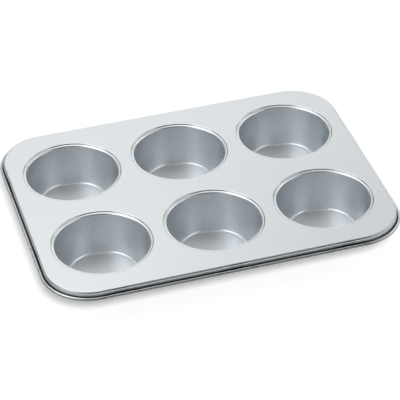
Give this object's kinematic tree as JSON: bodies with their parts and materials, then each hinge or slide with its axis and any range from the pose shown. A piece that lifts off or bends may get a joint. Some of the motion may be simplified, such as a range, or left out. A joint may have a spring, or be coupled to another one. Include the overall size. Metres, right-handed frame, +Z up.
{
  "type": "jumbo muffin pan",
  "caption": "Pressed sheet metal baking pan: deep round tapered cups in a flat deck with rounded corners, a short skirt and a rolled edge.",
  "frame": {"origin": "under the middle of the pan, on the plane that its cups stand on", "axes": "+X along the pan's length, +Y across its width from front to back, +Z up out of the cups"},
  "size_m": [0.3592, 0.2732, 0.042],
  "materials": {
    "pan": "satin silver-grey, plain, slightly cool"
  },
  "bodies": {
    "root": {"pan": "pan"}
  },
  "joints": []
}
